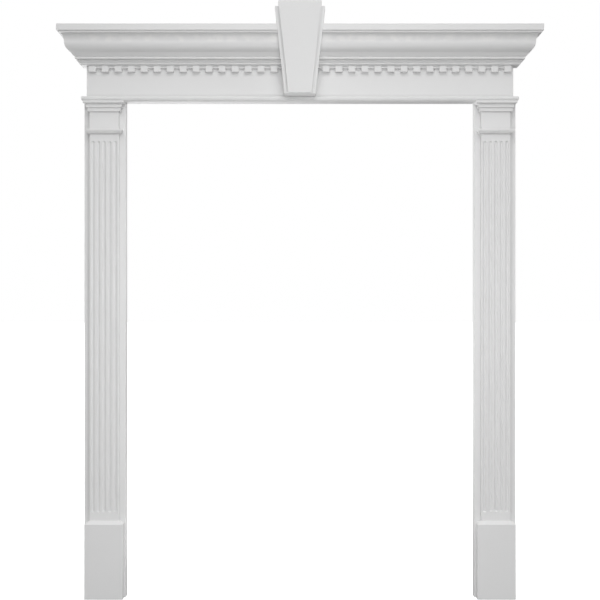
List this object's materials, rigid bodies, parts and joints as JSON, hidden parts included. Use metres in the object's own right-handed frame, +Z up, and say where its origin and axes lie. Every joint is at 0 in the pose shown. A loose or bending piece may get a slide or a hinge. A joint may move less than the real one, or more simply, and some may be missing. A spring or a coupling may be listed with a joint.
{
  "type": "door surround",
  "caption": "Moulded door surround: a flat crosshead with a dentilled cornice and a keystone, standing on two fluted pilasters around a doorway.",
  "frame": {"origin": "on the crosshead's flat back, on the centre line, 100 mm above the crosshead's foot and the top of the doorway: the point where the crosshead is fixed to the wall", "axes": "+Y into the wall, so the surround faces -Y; +Z up the pilasters; +X to the right as seen from the front"},
  "size_m": [2.086, 0.2007, 2.57],
  "materials": {
    "primed_crosshead": "satin white primer on moulded polyurethane",
    "primed_keystone": "satin white primer on moulded polyurethane",
    "primed_pilaster": "satin white primer on moulded polyurethane"
  },
  "bodies": {
    "root": {"crosshead": "primed_crosshead", "keystone": "primed_keystone", "pilaster_left": "primed_pilaster", "pilaster_right": "primed_pilaster"}
  },
  "joints": []
}
